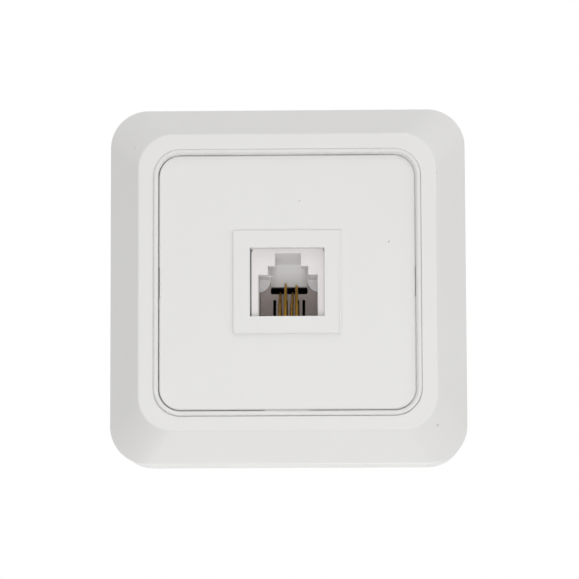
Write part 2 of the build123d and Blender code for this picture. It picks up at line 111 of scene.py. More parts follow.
def addLamps():
    # a lamp's power grows with the square of pi * its distance, so that its level is kept
    for name, (place, aim, size, level) in lamps.items():
        away = Vector(aim) - Vector(place)
        data = bpy.data.lights.new(name + "Lamp", "AREA")
        data.shape = "DISK"
        data.size = size
        data.energy = level * (math.pi * away.length) ** 2
        lamp = bpy.data.objects.new(name + "Lamp", data)
        lamp.location = place
        lamp.rotation_euler = away.to_track_quat("-Z", "Y").to_euler()
        scene.collection.objects.link(lamp)


addLamps()

worldLight = {"strength": 0.51}  # what the pale room gives from all sides; the eye sees white


def addNode(tree, kind, **settings):
    node = tree.nodes.new(kind)
    for name, value in settings.items():
        setattr(node, name, value)
    return node


def join(tree, source, target):
    # links an output, or sets a plain value
    if hasattr(source, "is_output"):
        tree.links.new(source, target)
    else:
        target.default_value = source


def mathNode(tree, operation, first, second=0.0, third=0.0):
    node = addNode(tree, "ShaderNodeMath", operation=operation)
    for value, socket in zip((first, second, third), node.inputs):
        join(tree, value, socket)
    return node.outputs[0]


def times(tree, first, second):
    return mathNode(tree, "MULTIPLY", first, second)


def rangeNode(tree, value, low, high, toLow=0.0, toHigh=1.0, smooth=False):
    kind = "SMOOTHSTEP" if smooth else "LINEAR"
    node = addNode(tree, "ShaderNodeMapRange", interpolation_type=kind)
    for number, socket in zip((value, low, high, toLow, toHigh), node.inputs):
        join(tree, number, socket)
    return node.outputs[0]


def mixColours(tree, amount, first, second, blend="MIX"):
    node = addNode(tree, "ShaderNodeMix", data_type="RGBA", blend_type=blend)
    for value, number in ((amount, 0), (first, 6), (second, 7)):
        join(tree, value, node.inputs[number])
    return node.outputs[2]


def opaque(colour):
    return (*colour, 1)


def setWorld():
    world = bpy.data.worlds.new("studio")
    scene.world = world
    world.use_nodes = True
    tree = world.node_tree
    back = tree.nodes["Background"]
    path = addNode(tree, "ShaderNodeLightPath")
    seen = mathNode(tree, "MAXIMUM", path.outputs["Is Camera Ray"], path.outputs["Is Glossy Ray"])
    seen = mathNode(tree, "MAXIMUM", seen, path.outputs["Is Transmission Ray"])
    level = rangeNode(tree, seen, 0.0, 1.0, worldLight["strength"], 1.0)
    join(tree, level, back.inputs["Strength"])
    back.inputs["Color"].default_value = (1, 1, 1, 1)


setWorld()
scene.view_settings.view_transform = "Standard"
print("camera, lamps and world set")


# finishes: effects shared by several materials
def newGroup(name, inputs, outputs):
    # inputs are {socket name: (kind, default)}, where a colour's default has four numbers,
    # and outputs are {socket name: kind}
    tree = bpy.data.node_groups.new(name, "ShaderNodeTree")
    for label, (kind, default) in inputs.items():
        socket = tree.interface.new_socket(label, in_out="INPUT", socket_type="NodeSocket" + kind)
        socket.default_value = default
    for label, kind in outputs.items():
        tree.interface.new_socket(label, in_out="OUTPUT", socket_type="NodeSocket" + kind)
    given = addNode(tree, "NodeGroupInput").outputs
    return tree, given, addNode(tree, "NodeGroupOutput").inputs


def objectPlace(tree):
    return addNode(tree, "ShaderNodeTexCoord").outputs["Object"]


def splitPlace(tree):
    # the place in object space as its X, Y and Z
    parts = addNode(tree, "ShaderNodeSeparateXYZ")
    join(tree, objectPlace(tree), parts.inputs[0])
    return parts.outputs


def noise(tree, place, scale, detail=2.0, rough=0.5):
    node = addNode(tree, "ShaderNodeTexNoise")
    join(tree, place, node.inputs["Vector"])
    for label, value in (("Scale", scale), ("Detail", detail), ("Roughness", rough)):
        join(tree, value, node.inputs[label])
    return node.outputs["Fac"]


noiseSpan = (0.3, 0.7)  # most of a noise lies between these

skinPattern = {
    # scales of the noises, and how much of the tint is in slow clouds and how much in flow lines
    "cloud": 70.0, "cloudShare": 0.6, "flow": 240.0, "flowShare": 0.4,
    "flowStretch": (1.0, 1.0, 0.25), "ageing": 45.0, "agedTint": (0.8, 0.76, 0.6),
    "patch": 320.0, "wave": 110.0,
}


def buildMouldedSkin():
    # moulded plastic: cloudy tint, fine spark grain and a slow waviness of the mould
    tree, given, result = newGroup("mouldedSkin", {
        "Colour": ("Color", (0.8, 0.8, 0.8, 1)), "Tint Spread": ("Float", 0.02),
        "Yellowing": ("Float", 0.0), "Roughness": ("Float", 0.4),
        "Roughness Spread": ("Float", 0.1), "Grain Size": ("Float", 2500.0),
        "Grain": ("Float", 0.4), "Waviness": ("Float", 0.6),
    }, {"Colour": "Color", "Roughness": "Float", "Height": "Float"})
    p = skinPattern
    place = objectPlace(tree)
    cloud = noise(tree, place, p["cloud"], 3.0)
    stretched = addNode(tree, "ShaderNodeMapping")
    stretched.inputs["Scale"].default_value = p["flowStretch"]
    join(tree, place, stretched.inputs["Vector"])
    flow = noise(tree, stretched.outputs[0], p["flow"], 2.0)
    grain = noise(tree, place, given["Grain Size"], 2.0, 0.6)
    clouds = times(tree, cloud, p["cloudShare"])
    both = mathNode(tree, "MULTIPLY_ADD", flow, p["flowShare"], clouds)
    change = mathNode(tree, "SUBTRACT", both, 0.5)
    shade = mathNode(tree, "MULTIPLY_ADD", change, given["Tint Spread"], 1.0)
    tint = addNode(tree, "ShaderNodeVectorMath", operation="SCALE")
    join(tree, given["Colour"], tint.inputs[0])
    join(tree, shade, tint.inputs["Scale"])
    ageing = rangeNode(tree, noise(tree, place, p["ageing"], 2.0), *noiseSpan)
    amount = times(tree, ageing, given["Yellowing"])
    aged = mixColours(tree, amount, tint.outputs[0], opaque(p["agedTint"]), "MULTIPLY")
    join(tree, aged, result["Colour"])
    patch = mathNode(tree, "SUBTRACT", noise(tree, place, p["patch"], 3.0), 0.5)
    rough = mathNode(tree, "MULTIPLY_ADD", patch, given["Roughness Spread"], given["Roughness"])
    join(tree, rough, result["Roughness"])
    fine = times(tree, grain, given["Grain"])
    wave = noise(tree, place, p["wave"], 1.0)
    join(tree, mathNode(tree, "MULTIPLY_ADD", wave, given["Waviness"], fine), result["Height"])
    return tree


speckPattern = {"ragged": 5200.0, "raggedReach": 0.12, "core": 0.55}  # reach in millimetres


def buildSpeck():
    # one small dirt mark: full at its core, gone at its size, with a ragged rim
    tree, given, result = newGroup("speck", {
        "Place": ("Vector", (0, 0, 0)), "Size": ("Float", 0.0003),
    }, {"Mask": "Float"})
    p = speckPattern
    place = objectPlace(tree)
    away = addNode(tree, "ShaderNodeVectorMath", operation="DISTANCE")
    join(tree, place, away.inputs[0])
    join(tree, given["Place"], away.inputs[1])
    rim = noise(tree, place, p["ragged"], 1.0)
    ragged = mathNode(tree, "MULTIPLY_ADD", rim, p["raggedReach"] * mm, away.outputs["Value"])
    core = times(tree, given["Size"], p["core"])
    join(tree, rangeNode(tree, ragged, core, given["Size"], 1.0, 0.0, True), result["Mask"])
    return tree


def buildFineDust():
    # scattered specks: a share of the cells is chosen by a random value, and each chosen one
    # shows within a small distance of its point
    tree, given, result = newGroup("fineDust", {
        "Density": ("Float", 0.04), "Cell": ("Float", 420.0), "Size": ("Float", 0.09),
    }, {"Mask": "Float"})
    cells = addNode(tree, "ShaderNodeTexVoronoi")
    join(tree, objectPlace(tree), cells.inputs["Vector"])
    join(tree, given["Cell"], cells.inputs["Scale"])
    chance = addNode(tree, "ShaderNodeSeparateColor")
    join(tree, cells.outputs["Color"], chance.inputs[0])
    chosen = mathNode(tree, "LESS_THAN", chance.outputs[0], given["Density"])
    near = rangeNode(tree, cells.outputs["Distance"], 0.0, given["Size"], 1.0, 0.0, True)
    join(tree, times(tree, near, chosen), result["Mask"])
    return tree


platingPattern = {
    "streak": 3000.0, "patch": 900.0, "patchFrom": 0.45, "patchTo": 0.75,
    "streakRoughness": 0.18, "patchRoughness": 0.12,  # added where the streak or patch is full
}


def buildPlatedMetal():
    # plated metal: a drawn or turned streak, patches of duller plating, and a darker tarnish
    tree, given, result = newGroup("platedMetal", {
        "Colour": ("Color", (0.6, 0.6, 0.6, 1)), "Tarnish": ("Color", (0.3, 0.3, 0.3, 1)),
        "Tarnish Amount": ("Float", 0.3), "Roughness": ("Float", 0.3),
        "Streak Scale": ("Vector", (1, 1, 1)),
    }, {"Colour": "Color", "Roughness": "Float", "Height": "Float"})
    p = platingPattern
    place = objectPlace(tree)
    stretched = addNode(tree, "ShaderNodeVectorMath", operation="MULTIPLY")
    join(tree, place, stretched.inputs[0])
    join(tree, given["Streak Scale"], stretched.inputs[1])
    streak = noise(tree, stretched.outputs[0], p["streak"], 3.0, 0.6)
    spots = noise(tree, place, p["patch"], 3.0)
    patch = rangeNode(tree, spots, p["patchFrom"], p["patchTo"], 0.0, 1.0, True)
    amount = times(tree, patch, given["Tarnish Amount"])
    join(tree, mixColours(tree, amount, given["Colour"], given["Tarnish"]), result["Colour"])
    rough = mathNode(tree, "MULTIPLY_ADD", streak, p["streakRoughness"], given["Roughness"])
    rough = mathNode(tree, "MULTIPLY_ADD", patch, p["patchRoughness"], rough)
    join(tree, rough, result["Roughness"])
    join(tree, streak, result["Height"])
    return tree


mouldedSkin = buildMouldedSkin()
speckGroup = buildSpeck()
fineDust = buildFineDust()
platedMetal = buildPlatedMetal()


def newMaterial(name):
    made = bpy.data.materials.new(name)
    made.use_nodes = True
    return made, made.node_tree, made.node_tree.nodes["Principled BSDF"]


def useGroup(tree, group, **values):
    # places a group and sets its named sockets; an underscore in a name stands for a space
    node = addNode(tree, "ShaderNodeGroup", node_tree=group)
    for label, value in values.items():
        join(tree, value, node.inputs[label.replace("_", " ")])
    return node.outputs


def bumpFrom(tree, bsdf, height, depth):
    # depth is what a height of 1 stands for, in millimetres
    bump = addNode(tree, "ShaderNodeBump")
    bump.inputs["Strength"].default_value = 1.0
    bump.inputs["Distance"].default_value = depth * mm
    join(tree, height, bump.inputs["Height"])
    join(tree, bump.outputs[0], bsdf.inputs["Normal"])


def plasticMaterial(name, look, colourChange=None):
    # colourChange(tree, colour) may add what only this piece has
    made, tree, bsdf = newMaterial(name)
    skin = useGroup(tree, mouldedSkin, Colour=opaque(look["colour"]),
                    Roughness=look["roughness"], Roughness_Spread=look["roughnessSpread"],
                    Tint_Spread=look["tintSpread"], Grain_Size=look["grainSize"],
                    Grain=look["grain"], Waviness=look["waviness"], Yellowing=look["yellowing"])
    dust = useGroup(tree, fineDust, Density=look["dust"], Cell=look["dustCell"],
                    Size=look["dustSize"])
    dusty = times(tree, dust["Mask"], look["dustDark"])
    colour = mixColours(tree, dusty, skin["Colour"], opaque(look["dustColour"]))
    if colourChange:
        colour = colourChange(tree, colour)
    join(tree, colour, bsdf.inputs["Base Color"])
    join(tree, skin["Roughness"], bsdf.inputs["Roughness"])
    bsdf.inputs["IOR"].default_value = look["ior"]
    bumpFrom(tree, bsdf, skin["Height"], look["depth"])
    return made


baseLook = {
    "colour": (0.816, 0.811, 0.801), "tintSpread": 0.03, "yellowing": 0.05,
    "roughness": 0.38, "roughnessSpread": 0.12, "ior": 1.5,
    "grainSize": 2600.0, "grain": 0.35, "waviness": 0.9, "depth": 0.006,
    "dust": 0.012, "dustCell": 420.0, "dustSize": 0.1, "dustDark": 0.5,
    "dustColour": (0.2, 0.19, 0.17),
}
# painted shade: the inner frame, its bead and the ledge beside the plate, is painted a little
# darker than the white, for the shade on the rounded bead
frameShadeLook = dict(baseLook, colour=(0.799, 0.794, 0.784))
boxLook = dict(baseLook, colour=(0.76, 0.76, 0.755), roughness=0.5, grain=0.8,
               grainSize=1700.0, depth=0.012)
jackLook = dict(baseLook, colour=(0.805, 0.778, 0.771), roughness=0.3, tintSpread=0.05,
                depth=0.004, yellowing=0.0)
# the carrier's dark warm grey is partly its own grey plastic, partly painted shade of the jack's
# deep recess and the wires' gold reflection on it
carrierLook = dict(baseLook, colour=(0.55, 0.49, 0.473), roughness=0.45, tintSpread=0.12,
                   depth=0.008, yellowing=0.0, ior=1.25)
terminalLook = dict(baseLook, colour=(0.06, 0.14, 0.33), roughness=0.42, tintSpread=0.15,
                    depth=0.01, yellowing=0.0)

faceSpecks = {
    "colour": (0.16, 0.13, 0.1),
    # place across, level above the wall and height, in millimetres, then size and how dark
    "marks": [
        (25.72, 21.77, -24.72, 0.42, 0.26), (17.53, 23.1, 6.87, 0.26, 0.5),
        (2.17, 23.1, 14.06, 0.24, 0.4), (25.9, 23.28, 18.8, 0.26, 0.35),
        (-26.38, 21.8, 23.75, 0.34, 0.15),
    ],
}


def addSpecks(tree, colour):
    for x, level, z, size, dark in faceSpecks["marks"]:
        place = (x * mm, -level * mm, z * mm)
        mark = useGroup(tree, speckGroup, Place=place, Size=size * mm)
        amount = times(tree, mark["Mask"], dark)
        colour = mixColours(tree, amount, colour, opaque(faceSpecks["colour"]))
    return colour


jackShades = {
    # lengths in millimetres; the inner colour is painted light behind the jack's face, and the
    # shades are painted shade that multiply the colour where their ramp is full
    "recessLightColour": (0.842, 0.833, 0.838), "innerStart": 22.1, "innerEnd": 21.2,
    "tongueMiddle": 0.12, "tongueHalf": 3.25, "tongueLevel": 15.0,
    "footFrom": 2.7, "footTo": 0.6, "footShade": (0.82, 0.81, 0.78),
    "sideWidth": 1.3, "sideShade": (0.75, 0.74, 0.73),
}


def shadeJack(tree, colour):
    # painted light: behind its face the jack's plastic is painted a paler, cooler white, lifting
    # the shade of the recess
    s = jackShades
    place = splitPlace(tree)
    inside = rangeNode(tree, place["Y"], -s["innerStart"] * mm, -s["innerEnd"] * mm,
                       0.0, 1.0, True)
    colour = mixColours(tree, inside, colour, opaque(s["recessLightColour"]))
    # painted shade: the tongue is darker towards the slot and at its sides: a ramp down its
    # height and one across from each side, kept to its own width and depth
    across = mathNode(tree, "SUBTRACT", place["X"], s["tongueMiddle"] * mm)
    away = mathNode(tree, "ABSOLUTE", across)
    half = s["tongueHalf"] * mm
    deep = mathNode(tree, "GREATER_THAN", place["Y"], -s["tongueLevel"] * mm)
    tongue = times(tree, mathNode(tree, "LESS_THAN", away, half), deep)
    foot = rangeNode(tree, place["Z"], s["footFrom"] * mm, s["footTo"] * mm)
    side = rangeNode(tree, away, half - s["sideWidth"] * mm, half)
    for ramp, shade in ((foot, "footShade"), (side, "sideShade")):
        amount = times(tree, ramp, tongue)
        colour = mixColours(tree, amount, colour, opaque(s[shade]), "MULTIPLY")
    return colour


carrierShades = {
    # the level of the carrier's face, how far behind it the painted shade begins and is full, in
    # millimetres, and the shade's near-black colour
    "faceLevel": 13.3, "darkFrom": 0.08, "darkTo": 0.9, "slotShadeColour": (0.004, 0.001, 0.001),
}


def paintSlotShade(tree, colour):
    # painted shade: behind the carrier's face its slots are painted near-black, standing for the
    # dark of the closed jack
    s = carrierShades
    face = -s["faceLevel"] * mm
    inside = rangeNode(tree, splitPlace(tree)["Y"], face + s["darkFrom"] * mm,
                       face + s["darkTo"] * mm, 0.0, 1.0, True)
    return mixColours(tree, inside, colour, opaque(s["slotShadeColour"]))


goldLook = {
    "colour": (0.46, 0.265, 0.042), "tarnish": (0.2, 0.1, 0.02), "amount": 0.5,
    "roughness": 0.22, "streak": (1.0, 0.08, 0.08), "depth": 0.004,
}
clampLook = {
    "colour": (0.66, 0.63, 0.57), "tarnish": (0.4, 0.36, 0.3), "amount": 0.5,
    "roughness": 0.3, "streak": (0.1, 1.0, 1.0), "depth": 0.006,
}
screwLook = {
    "colour": (0.62, 0.63, 0.64), "tarnish": (0.42, 0.41, 0.37), "amount": 0.5,
    "roughness": 0.26, "streak": (1.0, 0.3, 1.0), "depth": 0.02,
    "threadPitch": 0.8, "threadShare": 12.0,  # millimetres, and heights of the skin's own
    "sideBelow": 0.2, "endAbove": 0.5,  # how far a face looks along the screw
}
solderLook = {
    "colour": (0.72, 0.73, 0.74), "tarnish": (0.5, 0.5, 0.5), "amount": 0.35,
    "roughness": 0.2, "streak": (1.0, 1.0, 1.0), "depth": 0.01,
}


def threadHeight(tree, look):
    # a ramp along the screw, once up and down in each pitch, on the faces that look sideways
    facing = addNode(tree, "ShaderNodeSeparateXYZ")
    normal = addNode(tree, "ShaderNodeNewGeometry").outputs["True Normal"]
    join(tree, normal, facing.inputs[0])
    level = mathNode(tree, "ABSOLUTE", facing.outputs["Y"])
    share = rangeNode(tree, level, look["sideBelow"], look["endAbove"], look["threadShare"], 0.0)
    turns = times(tree, splitPlace(tree)["Y"], 1 / (look["threadPitch"] * mm))
    return mathNode(tree, "PINGPONG", turns, 0.5), share


def metalMaterial(name, look):
    made, tree, bsdf = newMaterial(name)
    skin = useGroup(tree, platedMetal, Colour=opaque(look["colour"]),
                    Tarnish=opaque(look["tarnish"]), Tarnish_Amount=look["amount"],
                    Roughness=look["roughness"], Streak_Scale=look["streak"])
    join(tree, skin["Colour"], bsdf.inputs["Base Color"])
    join(tree, skin["Roughness"], bsdf.inputs["Roughness"])
    bsdf.inputs["Metallic"].default_value = 1
    height = skin["Height"]
    if "threadPitch" in look:
        thread, share = threadHeight(tree, look)
        height = mathNode(tree, "MULTIPLY_ADD", thread, share, height)
    bumpFrom(tree, bsdf, height, look["depth"])
    return made


boardLook = {
    "lacquer": (0.03, 0.19, 0.07), "copper": (0.06, 0.33, 0.11), "tintSpread": 0.25,
    "trackScale": 215.0, "trackWidth": 0.11, "trackFade": 1.25, "trackRise": 0.8,
    "disorder": 0.35, "roughness": 0.22, "grainSize": 1500.0, "grain": 0.3, "waviness": 0.2,
    "coat": 0.4, "depth": 0.03,
}


def boardMaterial():
    # lacquered board: tracks are the borders of an angular cell pattern, and stand a little
    # proud under the lacquer
    b = boardLook
    made, tree, bsdf = newMaterial("lacqueredBoard")
    cells = addNode(tree, "ShaderNodeTexVoronoi", feature="DISTANCE_TO_EDGE",
                    distance="EUCLIDEAN")
    join(tree, objectPlace(tree), cells.inputs["Vector"])
    cells.inputs["Scale"].default_value = b["trackScale"]
    cells.inputs["Randomness"].default_value = b["disorder"]
    width = b["trackWidth"]
    track = rangeNode(tree, cells.outputs["Distance"], width, width * b["trackFade"], 1.0, 0.0)
    colour = mixColours(tree, track, opaque(b["lacquer"]), opaque(b["copper"]))
    skin = useGroup(tree, mouldedSkin, Colour=colour, Tint_Spread=b["tintSpread"],
                    Roughness=b["roughness"], Grain_Size=b["grainSize"], Grain=b["grain"],
                    Waviness=b["waviness"])
    join(tree, skin["Colour"], bsdf.inputs["Base Color"])
    join(tree, skin["Roughness"], bsdf.inputs["Roughness"])
    height = mathNode(tree, "MULTIPLY_ADD", track, b["trackRise"], skin["Height"])
    bumpFrom(tree, bsdf, height, b["depth"])
    bsdf.inputs["Coat Weight"].default_value = b["coat"]
    return made


whitePlastic = plasticMaterial("whiteMoulding", baseLook, addSpecks)
frameShadePlastic = plasticMaterial("frameShadeMoulding", frameShadeLook)
boxPlastic = plasticMaterial("boxMoulding", boxLook)
jackPlastic = plasticMaterial("jackMoulding", jackLook, shadeJack)
carrierPlastic = plasticMaterial("carrierMoulding", carrierLook, paintSlotShade)
terminalPlastic = plasticMaterial("terminalMoulding", terminalLook)
goldWire = metalMaterial("goldWire", goldLook)
clampMetal = metalMaterial("nickelClamp", clampLook)
screwMetal = metalMaterial("zincScrew", screwLook)
solderMetal = metalMaterial("solderTin", solderLook)
boardFinish = boardMaterial()
print("finishes made")


# shapes
def meshPiece(name, points, faces, material):
    # a new object at the origin from whole arrays; the sign of the volume, a sum of triple
    # products over the faces' triangles, tells whether the faces have to be turned outwards
    corners = points[faces[:, :3]]
    rest = points[faces[:, [0, 2, 3]]]
    volume = np.einsum("ij,ij->", corners[:, 0], np.cross(corners[:, 1], corners[:, 2]))
    volume += np.einsum("ij,ij->", rest[:, 0], np.cross(rest[:, 1], rest[:, 2]))
    if volume < 0:
        faces = faces[:, ::-1]
    mesh = bpy.data.meshes.new(name)
    rows = [tuple(dict.fromkeys(face)) for face in faces.tolist()]  # a doubled corner goes
    mesh.from_pydata(points.tolist(), [], rows)
    mesh.shade_smooth()
    piece = bpy.data.objects.new(name, mesh)
    scene.collection.objects.link(piece)
    mesh.materials.append(material)
    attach(piece, "root")
    return piece


def evenNormals(piece):
    # flat faces keep their flat shading, and the narrow rounds between them take the change
    normals = piece.modifiers.new("normals", "WEIGHTED_NORMAL")
    normals.keep_sharp = True


def ringFaces(rings, around, closed):
    # quads between each ring of points and the next; a closed shape also joins the last ring
    # to the first
    row = np.arange(rings if closed else rings - 1)[:, None]
    step = np.arange(around)[None, :]
    nextRow, nextStep = (row + 1) % rings, (step + 1) % around
    quads = np.stack([row * around + step, row * around + nextStep,
                      nextRow * around + nextStep, nextRow * around + step], -1)
    return quads.reshape(-1, 4)


def closedPiece(name, rings, material):
    # rings of points round a closed section
    count, around = rings.shape[:2]
    faces = ringFaces(count, around, True)
    piece = meshPiece(name, rings.reshape(-1, 3) * mm, faces, material)
    evenNormals(piece)
    return piece


def closePoles(rings):
    # the first and the last ring have shrunk to a point each, so every face there uses that
    # one point
    count, around = rings.shape[:2]
    faces = ringFaces(count, around, False)
    faces[faces < around] = 0
    last = (count - 1) * around
    faces[faces >= last] = last
    points = rings.reshape(-1, 3) * mm
    used, faces = np.unique(faces, return_inverse=True)
    return points[used], faces.reshape(-1, 4)


def roundCorners(points, rounding, steps):
    # each corner of a closed outline becomes an arc that meets both its sides in a tangent: the
    # arc's centre lies on the bisector, radius / sin(half the angle) away, and an arc takes
    # less than half of a side; columns after the first two are carried along
    mostOfSide = 0.45
    before, after = np.roll(points, 1, 0), np.roll(points, -1, 0)
    back, ahead = before - points, after - points
    backLong = np.linalg.norm(back[:, :2], axis=1)
    aheadLong = np.linalg.norm(ahead[:, :2], axis=1)
    u, v = back[:, :2] / backLong[:, None], ahead[:, :2] / aheadLong[:, None]
    half = np.arccos(np.clip((u * v).sum(1), -1, 1)) / 2
    reach = np.minimum(rounding / np.tan(half), mostOfSide * np.minimum(backLong, aheadLong))
    radius = reach * np.tan(half)
    bisector = (u + v) / np.linalg.norm(u + v, axis=1)[:, None]
    middle = points[:, :2] + bisector * (radius / np.sin(half))[:, None]
    first = points[:, :2] + u * reach[:, None] - middle
    last = points[:, :2] + v * reach[:, None] - middle
    part = np.linspace(0, 1, steps + 1)[None, :, None]
    wide = (np.pi - 2 * half)[:, None, None]
    fromFirst, fromLast = np.sin((1 - part) * wide), np.sin(part * wide)
    arc = (fromFirst * first[:, None] + fromLast * last[:, None]) / np.sin(wide)
    carriedBack = back[:, None, 2:] * (reach / backLong)[:, None, None]
    carriedAhead = ahead[:, None, 2:] * (reach / aheadLong)[:, None, None]
    carried = points[:, None, 2:] + (1 - part) * carriedBack + part * carriedAhead
    return np.concatenate([arc + middle[:, None], carried], -1).reshape(-1, points.shape[1])


def roundedSquareRings(section, steps):
    # each row of the section (half width, level, corner radius) is carried round a rounded
    # square: in a corner the point is (half - radius) + radius * (cos, sin) of the turn, and
    # the other corners are quarter turns of it
    half, level, radius = section.T[:3]
    turn = np.linspace(0, np.pi / 2, steps + 1)
    across = (half - radius)[:, None] + radius[:, None] * np.cos(turn)[None]
    up = (half - radius)[:, None] + radius[:, None] * np.sin(turn)[None]
    x = np.concatenate([across, -up, -across, up], 1)
    z = np.concatenate([up, across, -up, -across], 1)
    y = np.broadcast_to(-level[:, None], x.shape)
    return np.stack([x, y, z], -1)


coverShell = {
    # the section of the cover from its inner foot outwards: half width, level above the wall,
    # corner radius, and how round that corner of the section is, all in millimetres
    "section": [
        (29.2, 0.3, 4.8, 0.1), (31.0, 0.3, 6.6, 0.25), (31.0, 16.7, 6.6, 0.5),
        (25.65, 23.6, 6.0, 0.5), (23.085, 23.6, 4.71, 0.14), (23.085, 19.8, 4.71, 0.05),
        (21.7, 19.8, 3.32, 0.1), (21.7, 18.2, 3.32, 0.1), (24.6, 18.2, 6.22, 0.2),
        (24.6, 21.7, 6.22, 0.1), (24.85, 21.69, 5.2, 0.1), (29.2, 16.08, 4.8, 0.3),
    ],
    "roundSteps": 5,
    "cornerSteps": 22,
    # the well sits a little lower and to the right of the frame in it: how far, inside which
    # half width and above which level of the section
    "wellShift": (0.015, -0.025), "wellInside": 23.4, "wellAbove": 19.5,
}


def makeCoverShell():
    # the section with its corners rounded, carried round a rounded square
    c = coverShell
    rows = np.array(c["section"])
    section = roundCorners(rows[:, :3], rows[:, 3], c["roundSteps"])
    rings = roundedSquareRings(section, c["cornerSteps"])
    well = (section[:, 0] < c["wellInside"]) & (section[:, 1] > c["wellAbove"])
    rings[..., 0] += well[:, None] * c["wellShift"][0]
    rings[..., 2] += well[:, None] * c["wellShift"][1]
    cover = closedPiece("coverShell", rings, whitePlastic)
    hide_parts("cover_frame")


gapLedge = {
    # a thin ledge on the inner frame, beside the plate: half width, level and corner radius of
    # its section, and how far each row stands to the right and above, in millimetres; the
    # plate sits a little off the middle
    "section": [
        (22.5, 22.2, 4.2, 0.0, 0.0), (22.16, 22.2, 3.78, -0.05, -0.02),
        (22.16, 23.04, 3.78, -0.05, -0.02), (22.2, 23.07, 3.82, -0.02, -0.02),
        (22.5, 23.1, 4.2, 0.0, 0.0),
    ],
    "cornerSteps": 22,
}


def makeGapLedge():
    # the rings of a rounded square, each moved across and up by its own amount
    section = np.array(gapLedge["section"])
    rings = roundedSquareRings(section, gapLedge["cornerSteps"])
    rings[..., 0] += section[:, 3:4]
    rings[..., 2] += section[:, 4:]
    closedPiece("gapLedge", rings, frameShadePlastic)


clipFlanks = {
    # the clips' flanks, which fill part of the plate's notches: where each begins and ends
    # across, how high it reaches up and down, and its levels, in millimetres
    "across": [(-21.98, -21.8), (21.8, 22.0)], "halfHeight": 2.54, "levels": (22.2, 23.07),
    "round": 0.03,
}


def makeClipFlanks():
    # a block's corners are all combinations of its low and high values along the three axes
    c = clipFlanks
    depths, heights = (-c["levels"][1], -c["levels"][0]), (-c["halfHeight"], c["halfHeight"])
    blocks = [np.stack(np.meshgrid(across, depths, heights, indexing="ij"), -1).reshape(-1, 3)
              for across in c["across"]]
    sides = np.array([[0, 1, 3, 2], [4, 6, 7, 5], [0, 4, 5, 1],
                      [2, 3, 7, 6], [0, 2, 6, 4], [1, 5, 7, 3]])
    faces = np.concatenate([sides, sides + len(blocks[0])])
    flanks = meshPiece("clipFlanks", np.concatenate(blocks) * mm, faces, whitePlastic)
    roundEdges(flanks, c["round"])


jackFlange = {
    # a thin flange round the jack's front, seen through the gap at the window's edge: its
    # corners in order, each with its place across, height and level, then which way it reaches
    # out from there, how far, and its thickness, in millimetres
    "corners": [(-6.1, 5.7, 22.28), (6.3, 5.7, 22.28), (6.3, 5.69, 21.1), (6.3, -6.2, 21.1),
                (-6.1, -6.2, 21.1), (-6.1, 5.69, 21.1)],
    "outwards": [(-1, 1), (1, 1), (1, 1), (1, -1), (-1, -1), (-1, 1)],
    "reach": 0.36, "thickness": 0.4,
}


def makeJackFlange():
    # four loops of the same corners: in and out at the front, then out and in at the back
    f = jackFlange
    across, height, level = np.array(f["corners"]).T
    right, up = np.array(f["outwards"]).T * f["reach"]
    out = np.array([0, 1, 1, 0])[:, None]
    back = np.array([0, 0, 1, 1])[:, None]
    loops = np.stack([across + out * right, -(level - back * f["thickness"]),
                      height + out * up], -1)
    closedPiece("jackFlange", loops, jackPlastic)


mouldFlash = {
    # the sliver of plastic left at the end of the jack's left shoulder, in millimetres
    "start": (-3.6, 1.07), "end": (-2.4, 1.03), "level": 22.25, "radius": 0.08,
    "rings": 14, "around": 10,
}


def makeMouldFlash():
    # a spindle: circles strung along a straight line, radius * sqrt(1 - (2 * part - 1)^2), so
    # that both ends close
    f = mouldFlash
    part = (1 - np.cos(np.linspace(0, np.pi, f["rings"]))) / 2
    radius = f["radius"] * np.sqrt(np.clip(1 - (2 * part - 1) ** 2, 0, 1))[:, None]
    turn = np.linspace(0, 2 * np.pi, f["around"], endpoint=False)[None]
    across = f["start"][0] + part * (f["end"][0] - f["start"][0])
    up = f["start"][1] + part * (f["end"][1] - f["start"][1])
    x = np.broadcast_to(across[:, None], (f["rings"], f["around"]))
    z = up[:, None] + radius * np.cos(turn)
    y = -(f["level"] + radius * np.sin(turn))
    sliver = meshPiece("mouldFlash", *closePoles(np.stack([x, y, z], -1)), jackPlastic)


contactWires = {
    "runHeight": -6.625, "tailLevel": 3.8, "turnLevel": 21.5,
    # in millimetres: place across of the run, then place across, height and level of the end
    "wires": [(-1.36, -1.41, -0.92, 13.65), (-0.43, -0.43, 0.52, 14.9),
              (0.63, 0.78, -0.86, 13.65), (1.6, 1.45, 0.27, 14.9)],
    "bendRadius": 0.45, "radius": 0.31, "tipRadius": 0.2, "taperLength": 3.4,
    "endRounding": 0.0001,  # the line's two ends aren't bent
    "around": 18, "bendSteps": 9, "capSteps": 5, "taperSteps": 3,
}


